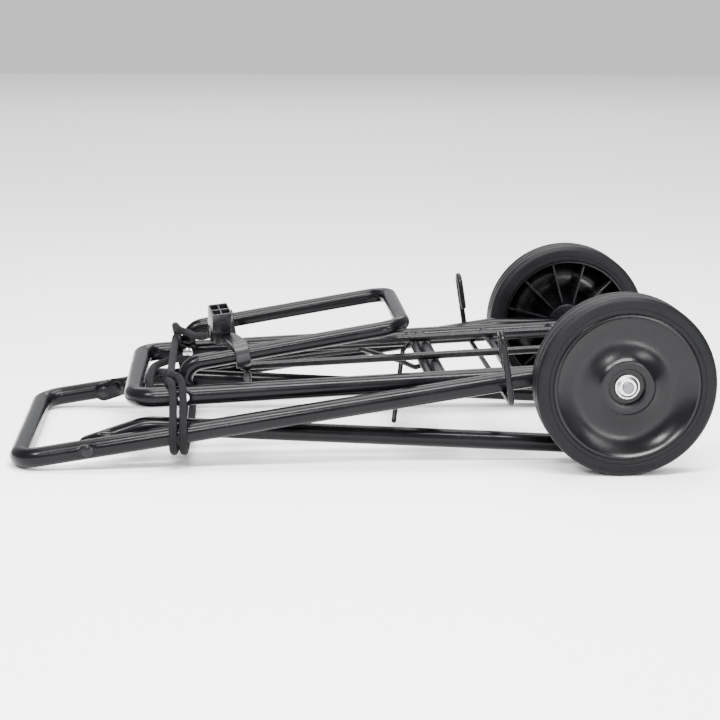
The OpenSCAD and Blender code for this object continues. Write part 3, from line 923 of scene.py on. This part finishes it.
# wheels
wheelLook = {
    "radius": 90 * mm,
    "rim": 73.5 * mm,
    "width": 41 * mm,
    "shoulder": 6 * mm,
    "groove": 1.1 * mm,
    "boss": 26.5 * mm,
    "counterbore": 18 * mm,
    "seat": 7 * mm,
    "bush": 8.5 * mm,
    "barrel": 23 * mm,
    "barrelOut": 2 * mm,
    "dish": 8 * mm,
    "web": 3 * mm,
    "ribs": 12,
    "ribThick": 2.2 * mm,
}


def tyreOutline():
    look = wheelLook
    r, w, s, g = look["radius"], look["width"], look["shoulder"], look["groove"]
    rim = look["rim"]
    side = [(rim, 1.2 * mm), (rim + 0.6 * mm, 0.4 * mm), (rim + 1.6 * mm, 0), (rim + 4 * mm, 0),
            (rim + 4.4 * mm, 0.4 * mm), (rim + 5 * mm, 0.4 * mm), (rim + 5.4 * mm, 0), (r - s, 0)]
    shoulder = [(r - s + s * math.sin(math.radians(a)), s - s * math.cos(math.radians(a)))
                for a in range(10, 91, 10)]
    half = []
    for centre in (w / 2 - 8 * mm,):
        half += [(r, centre - 1.0 * mm), (r - 0.15 * mm, centre - 0.7 * mm), (r - g, centre - 0.45 * mm),
                 (r - g, centre + 0.45 * mm), (r - 0.15 * mm, centre + 0.7 * mm), (r, centre + 1.0 * mm)]
    front = side + shoulder + half
    back = [(a, w - b) for a, b in reversed(front)]
    return front + back + [front[0]]


def dishPoint(t, drop=0.0):
    look = wheelLook
    outer = look["rim"] - 3 * mm
    radius = outer - (outer - look["boss"]) * t
    depth = look["dish"] * max(math.sin(math.pi * t), 0) ** 0.8
    return (radius, look["width"] - 1 * mm - depth - 1.5 * mm * t - drop)


def hubOutline():
    look = wheelLook
    w, rim = look["width"], look["rim"]
    count = 28
    top = w - 2.5 * mm
    outline = [(rim, 1.6 * mm), (rim, w - 2 * mm), (rim - 0.4 * mm, w - 1.3 * mm),
               (rim - 1.1 * mm, w - 1 * mm)]
    outline += [dishPoint(k / count) for k in range(count)]
    outline += [(look["boss"] + 0.3 * mm, top), (look["boss"] - 0.6 * mm, top + 0.5 * mm),
                (look["boss"] - 1.6 * mm, top + 0.6 * mm), (look["counterbore"] + 1.5 * mm, top + 0.6 * mm),
                (look["counterbore"] + 0.5 * mm, top + 0.3 * mm), (look["counterbore"], top - 0.4 * mm),
                (look["counterbore"], w - look["seat"]), (look["bush"], w - look["seat"]),
                (look["bush"], -look["barrelOut"]), (look["barrel"] - 0.8 * mm, -look["barrelOut"]),
                (look["barrel"], -look["barrelOut"] + 0.8 * mm), (look["barrel"], 20 * mm)]
    inner = [dishPoint(k / count, look["web"]) for k in range(count - 3, 1, -1)]
    inner[0] = (look["barrel"] + 1.5 * mm, inner[0][1])
    outline += inner
    outline += [(rim - 4 * mm, w - 8 * mm), (rim - 2.6 * mm, 1.6 * mm), (rim - 2.2 * mm, 1 * mm),
                (rim - 0.6 * mm, 1 * mm), (rim, 1.6 * mm)]
    return outline


def makeWheel(side, word):
    look = wheelLook
    low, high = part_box(word + "_tyre")
    inner = high[1] if side < 0 else low[1]
    centre = Vector((axleAt.x, 0, axleAt.z))

    def across(outline):
        return [(r, inner + side * y) for r, y in outline]

    tyre = turned(centre, across(tyreOutline()), 192)
    finishPiece(tyre, word + "_rubber_tyre", finishes["tyre_rubber"], 40)
    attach(tyre, word + "_wheel")
    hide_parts(word + "_tyre")
    hub = turned(centre, across(hubOutline()), 160)
    parts = [hub]
    for k in range(look["ribs"]):
        edges = sorted([inner + side * 4 * mm, inner + side * (look["width"] - 10.5 * mm)])
        rib = block((look["barrel"] - 0.4 * mm, edges[0], -look["ribThick"] / 2),
                    (look["rim"] - 3.2 * mm, edges[1], look["ribThick"] / 2), 0.4 * mm)
        turn = Matrix.Translation(centre) @ Matrix.Rotation(math.radians(360 * k / look["ribs"] + 15), 4, "Y")
        rib.data.transform(turn @ rib.matrix_world)
        rib.matrix_world = Matrix.Identity(4)
        parts.append(rib)
    hub = joinPieces(parts)
    finishPiece(hub, word + "_moulded_hub", finishes["hub_plastic"], 30)
    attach(hub, word + "_wheel")
    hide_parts(word + "_wheel_hub")


makeWheel(-1, "left")
makeWheel(1, "right")
print("wheels made")

# CAD nodes that stay as they are, with their finishes
for entry in frame["record"]["subparts"]:
    node = nodes[entry["node"]]
    slotName = entry["material_slot"]
    node.data.materials.clear()
    node.data.materials.append(finishes["axle_steel" if entry["node"] == "axle" else slotName])
    for face in node.data.polygons:
        face.use_smooth = True
    weld = node.modifiers.new("weld", "WELD")
    weld.merge_threshold = 0.00002
    split = node.modifiers.new("split", "EDGE_SPLIT")
    split.split_angle = math.radians(32)
print("nodes dressed")

# floor and light
stageLook = {
    "floor": (0.95, 0.95, 0.955, 1),
    "world": (0.97, 0.98, 1.0, 1),
    "worldStrength": 0.85,
    "lamps": [
        ((0.1, -1.1, 1.9), (0, 0, 0.05), 1.7, 0.3, 120),
        ((0.0, 0.3, 2.2), (0, 0, 0.05), 1.6, 1.2, 90),
        ((-1.5, -1.6, 2.0), (-0.1, 0, 0.08), 0.6, 0.5, 70),
        ((1.5, -2.0, 1.1), (0.2, 0, 0.08), 0.35, 0.8, 22),
        ((-0.5, -2.6, 1.5), (0.26, -0.2, 0.09), 0.35, 0.35, 40),
        ((0.9, -2.4, 0.25), (0.26, -0.2, 0.09), 0.3, 0.3, 16),
        ((0.0, 4.2, 3.4), (0, 1.6, 0.0), 4.5, 2.2, 150),
    ],
}


def makeStage():
    clearSelection()
    bpy.ops.mesh.primitive_plane_add(size=14, location=(0, 0, -0.0005))
    floor = bpy.context.object
    floor.name = "floor"
    material, shader = newMaterial("paleFloor", Roughness=0.6, Specular_IOR_Level=0.2)
    shader.inputs["Base Color"].default_value = stageLook["floor"]
    floor.data.materials.append(material)
    world = bpy.data.worlds.new("studio")
    world.use_nodes = True
    background = world.node_tree.nodes["Background"]
    background.inputs["Color"].default_value = stageLook["world"]
    background.inputs["Strength"].default_value = stageLook["worldStrength"]
    bpy.context.scene.world = world
    for place, target, width, height, power in stageLook["lamps"]:
        way = (Vector(target) - Vector(place)).to_track_quat("-Z", "Y").to_euler()
        bpy.ops.object.light_add(type="AREA", location=place, rotation=way)
        lamp = bpy.context.object.data
        lamp.shape = "RECTANGLE"
        lamp.size, lamp.size_y, lamp.energy = width, height, power


makeStage()
print("stage made")
